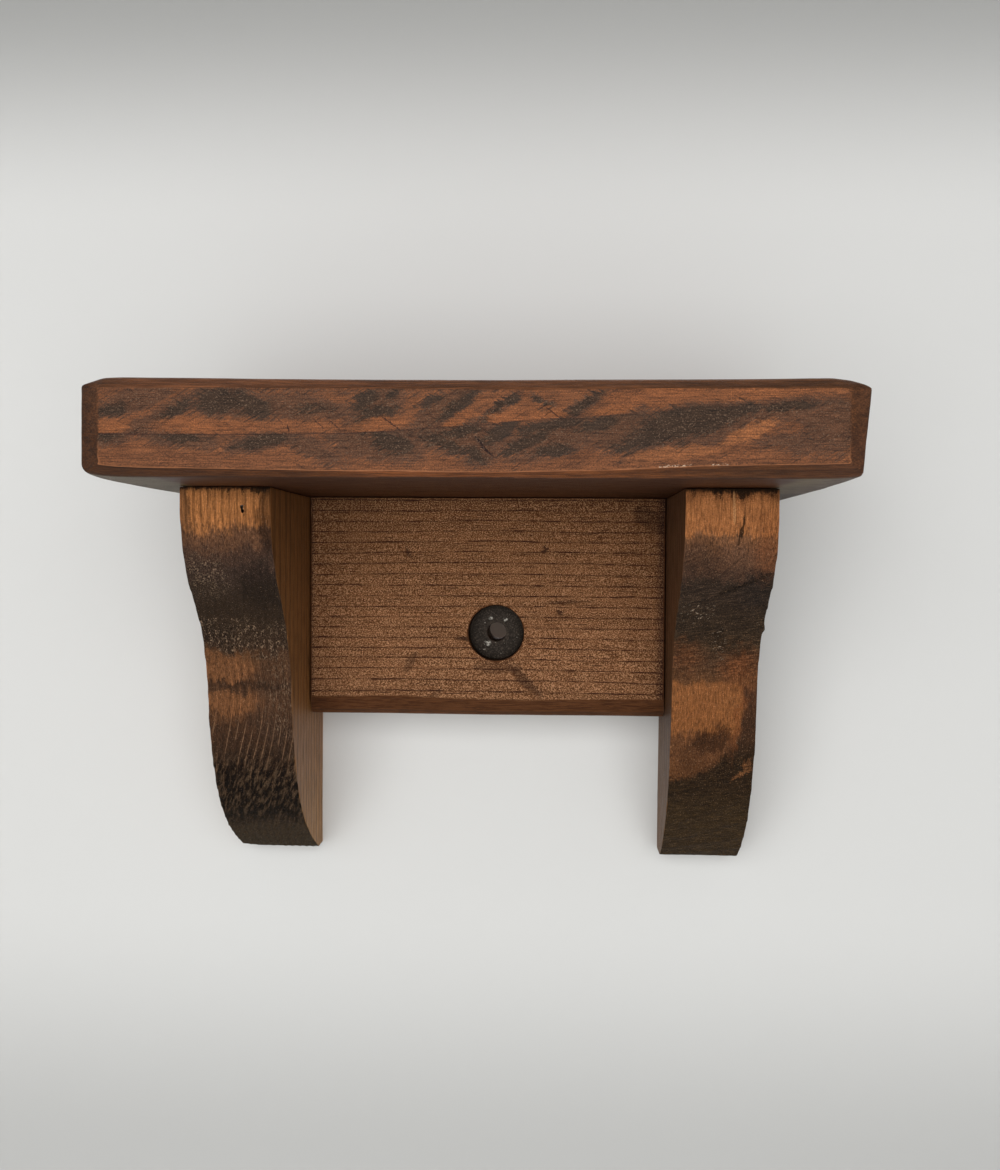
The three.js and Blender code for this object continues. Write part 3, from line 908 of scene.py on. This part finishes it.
def sawn_edge(node, low, high, heights):
    """How far the CAD bracket's curved edge stands from the wall at each height, read from its solid."""
    across = low.x + 0.3 * (high.x - low.x)
    depths = []
    for height in np.clip(heights, low.z + 0.02 * MM, high.z - 0.02 * MM):
        hit, place, _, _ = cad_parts[node].ray_cast(Vector((across, -1, height)), Vector((0, 1, 0)))
        depths.append(place.y if hit else 0)
    depths = np.array(depths)
    for _ in range(60):  # smooths the CAD's flat facets away
        depths[1:-1] = (depths[:-2] + 2 * depths[1:-1] + depths[2:]) / 4
    return depths


def make_bracket(side, timber, stops, curve, ends, tufts, worn_corner, bulges=()):
    """`stops` colour its sides, lighter towards the bottom as painted light and darker under the board as
    painted shade, and `ends` colour its ends. `tufts` is how rough the sawn curve is and `worn_corner` how
    far its lower left edge is worn. Each bulge is (across, down, width, height). All are in mm."""
    node = side + "_bracket"
    low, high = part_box(node)
    heights = graded_lines(low.z, high.z, 0.15 * MM, 0.8 * MM, growth=1.06)
    depths = sawn_edge(node, low, high, heights)

    def shape(points):
        share, z = points[:, Y], points[:, Z]
        points = np.stack([points[:, X], share * np.interp(z, heights, depths), z], axis=1)
        return plane_off(points, (low.x, 0, low.z), (-1.4, 0, -8), worn_corner * MM)

    def relief(points, normals):
        sawn = ramp(-normals[:, Y], 0.1, 0.45)
        grain = timber.latewood(points) * 0.25
        scorched = ramp(high.z - points[:, Z], 40 * MM, 120 * MM)
        torn = noise(timber.stretched(points, 1.7, 4), 31) * tufts * (0.35 + scorched)
        wave = noise(points / (np.array([200, 7, 7]) * MM), 17) * 0.1
        amount = unevenness(points, timber, 23) + sawn * (grain + torn + wave)
        for across, drop, width, depth in bulges:
            away = points[:, [X, Z]] - np.array([low.x + across * MM, high.z - drop * MM])
            amount += sawn * depth * np.exp(-((away / (width * MM)) ** 2).sum(axis=1))
        return amount

    def material_of(normals, sides, middles):
        return np.select([sides == FRONT, (sides == BOTTOM) | (sides == TOP)], [1, 2], 0)

    materials = [
        planed_wood(side + "_side", timber, stops=stops),
        curve(side + "_curve", timber, (low.x / MM, high.z / MM)),
        planed_wood(side + "_ends", timber, ends),
        planed_wood(side + "_bored", timber, (50, 35, 25)),
    ]
    lines = [even_lines(low.x, high.x, 0.7 * MM), 1 - graded_lines(0, 1, 0.012, 0.05), heights]
    holes = nail_holes("shelf_nail_" + side, "rail_nail_" + side, node)
    timber_piece(node, timber, lines, shape, relief, materials, material_of, holes)


def make_brackets():
    # The sides' stops are painted light and shade: lighter towards the bottom, darker towards the top, under
    # the board.
    make_bracket(
        "left", Timber(Z, (-354, -174), 3.2, waver=0.5, seed=41),
        stops=[(-128, (158, 113, 62)), (-60, (150, 103, 60)), (-20, (134, 92, 56)), (55, (128, 86, 52))],
        curve=left_curve, ends=(72, 52, 38), tufts=0.16, worn_corner=1.4,
    )
    make_bracket(
        "right", Timber(Z, (67, -196), 9.0, waver=0.35, seed=57),
        stops=[(-128, (112, 75, 36)), (-64, (106, 71, 40)), (-50, (90, 63, 44)), (55, (96, 67, 48))],
        curve=right_curve, ends=(78, 58, 42), tufts=0.12, worn_corner=0.2,
        bulges=[(39.5, 61.5, 1.6, 1.1)],
    )


def make_rail():
    low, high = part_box("back_rail")
    timber = Timber(X, (30, -260), 5.2, waver=0.3, seed=71)

    def shape(points):
        waver = noise(points[:, [X, X, X]] * np.array([1, 0, 0]) / (24 * MM), 61)
        return plane_off(points, (0, low.y, low.z), (0, -9, -5), (4.4 + 0.5 * waver) * MM)

    def relief(points, normals):
        facing = ramp(-normals[:, Y], 0.6, 0.95)
        fuzz = noise(points / (1.9 * MM), 83) * 0.14
        return unevenness(points, timber, 29) + facing * (fuzz - timber.latewood(points) * 0.15)

    def material_of(normals, sides, middles):
        return np.select([sides == FRONT, sides == BOTTOM], [1, 2], 0)

    centre = middle_of("wall_screw_washer")
    recess, floor = 14.0 * MM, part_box("wall_screw_washer")[1].y + 0.3 * MM
    front, behind = low.y - 5 * MM, 5 * MM
    profile = [
        (0, front), (recess, front), (recess, floor),
        (SCREW_HOLE, floor), (SCREW_HOLE, behind), (0, behind),
    ]
    screw_hole = lathe(profile, (centre.x, 0, centre.z), (0, 1, 0), segments=96)
    materials = [
        planed_wood("rail_planed", timber, (108, 73, 48)),
        rough_rail("rail_face", timber, low, high),
        planed_wood("rail_underside", timber, (94, 60, 38)),
        planed_wood("rail_bored", timber, (72, 50, 35)),
    ]
    lines = board_lines(low, high, 1.0, 0.9, 0.9)
    timber_piece("back_rail", timber, lines, shape, relief, materials, material_of,
                 [screw_hole] + nail_holes("rail_nail"))


def dark_steel(centre):
    """The washer: dull dark steel with pits, grit and sawdust, and a little lighter just around its hole."""
    steel = Graph("dark_steel", (36, 29, 22))
    grit = steel.noise((0.6, 0.6, 0.6), detail=4, roughness=0.75)
    film = steel.noise((5, 5, 5))
    dust = steel.noise((1.5, 1.5, 1.5), detail=4, roughness=0.8)
    steel.paint((44, 36, 29), steel.ramp(film, 0.45, 0.6, 0.5))
    # A little lighter just around the hole.
    steel.paint((62, 53, 45), steel.ramp(steel.distance_from(centre), 6.8, 4.6, 0.7))
    steel.paint((76, 64, 53), steel.ramp(grit, 0.52, 0.62, 0.75))
    steel.paint((18, 14, 11), steel.ramp(grit, 0.46, 0.36, 0.7))
    steel.paint((205, 195, 180), steel.ramp(dust, 0.66, 0.71, 0.9))
    crumbs = steel.ovals(steel.offset_from(centre), [
        (-4.6, -5.6, 1.7, 1.5, 0, 1.0), (4.2, 6.4, 1.3, 0.9, 0, 0.8), (-3, 7, 1.2, 0.8, 0, 0.6),
    ])
    steel.paint((190, 184, 172), crumbs, steel.ramp(dust, 0.46, 0.56))
    steel.emboss(grit, 0.3)
    return steel.finish(steel.ramp(grit, 0.35, 0.65, 0.55, 0.85))


def make_washer():
    low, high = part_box("wall_screw_washer")
    centre = middle_of("wall_screw_washer")
    outer, back, inner, edge = (high.x - low.x) / 2, high.y - low.y, SCREW_HOLE, 0.35 * MM
    section = [
        (inner, edge), (inner + edge, 0), (outer - edge, 0), (outer, edge),
        (outer, back - edge), (outer - edge, back), (inner + edge, back), (inner, back - edge),
    ]
    points, faces = lathe(section, (centre.x, low.y, centre.z), (0, 1, 0), segments=128, closed=True)
    washer = new_object("washer_steel", points, faces, [dark_steel(centre)])
    finish_piece(washer, "wall_screw_washer")


def nail_steel():
    steel = Graph("nail_steel", (120, 114, 108))
    drawn = steel.noise((0.4, 0.4, 0.4), detail=4)
    steel.paint((70, 60, 52), steel.ramp(drawn, 0.45, 0.6, 0.8))
    steel.shader.inputs["Metallic"].default_value = 1.0
    steel.emboss(drawn, 0.06)
    return steel.finish(steel.ramp(drawn, 0.35, 0.65, 0.55, 0.35))


def make_nails():
    steel = nail_steel()
    for node in NAILS:
        head, direction, radius, length = nail_line(node)
        shank, point, dimple = 0.725 * radius, 2.2 * radius, 0.35 * radius
        grips = [(shank - (i % 2) * 0.12 * MM, (4 + i * 0.5) * MM) for i in range(8)]
        edge, tip = 0.25 * MM, 0.1 * MM
        profile = [
            (0, dimple), (dimple, 0), (radius - edge, 0), (radius, edge), (radius, 0.7 * radius),
            (shank, 1.3 * radius), *grips, (shank, length - point), (tip, length), (0, length),
        ]
        points, faces = lathe(profile, head, direction, segments=32)
        nail = new_object(node.replace("nail", "pin"), points, faces, [steel])
        finish_piece(nail, node, sharp_angle=40)


# ---- Stage ----

def paper_wall(screw):
    """Pale paper that only shows from the room, with painted shade far above and below the shelf."""
    paper = Graph("paper_wall", (213, 213, 211), specular=0.0)
    height = paper.split(paper.place)[Z]
    # Painted shade far above and below the shelf.
    above, below = paper.ramp(height, 200, 340, 0.95), paper.ramp(height, -160, -300, 0.5)
    paper.paint((154, 154, 152), paper.most(above, below))
    paper.paint((206, 186, 170), paper.ramp(paper.distance_from(screw), 8, 4))  # browner and a little darker behind the screw hole, where the wall shows through it
    paper.finish(0.95)
    behind = paper.add("ShaderNodeNewGeometry").outputs["Backfacing"]
    clear = paper.add("ShaderNodeBsdfTransparent").outputs[0]
    choose = paper.add("ShaderNodeMixShader", {0: behind, 1: paper.shader.outputs[0], 2: clear})
    paper.put(choose.outputs[0], paper.tree.nodes["Material Output"].inputs["Surface"])
    return paper.material


def add_stage():
    """A wall behind the shelf and a floor below it, both wider than any view shows."""
    half, floor_height = 2.0, -0.5
    corners = [(-half, -half), (half, -half), (half, half), (-half, half)]
    paper = paper_wall(middle_of("wall_screw_washer"))
    wall = new_object("paper_wall", [(x, 0, z) for x, z in corners], [(0, 1, 2, 3)], [paper])
    wall.location.y = 0.6 * MM
    wall.visible_shadow = False  # so that lamps behind the wall still light the back of the shelf
    pale = Graph("pale_floor", (214, 214, 212)).finish(0.9)
    floor = new_object("floor", [(x, y, 0) for x, y in corners], [(0, 1, 2, 3)], [pale])
    floor.location.z = floor_height


add_camera()
add_lights()
add_stage()
make_board()
make_brackets()
make_rail()
make_washer()
make_nails()
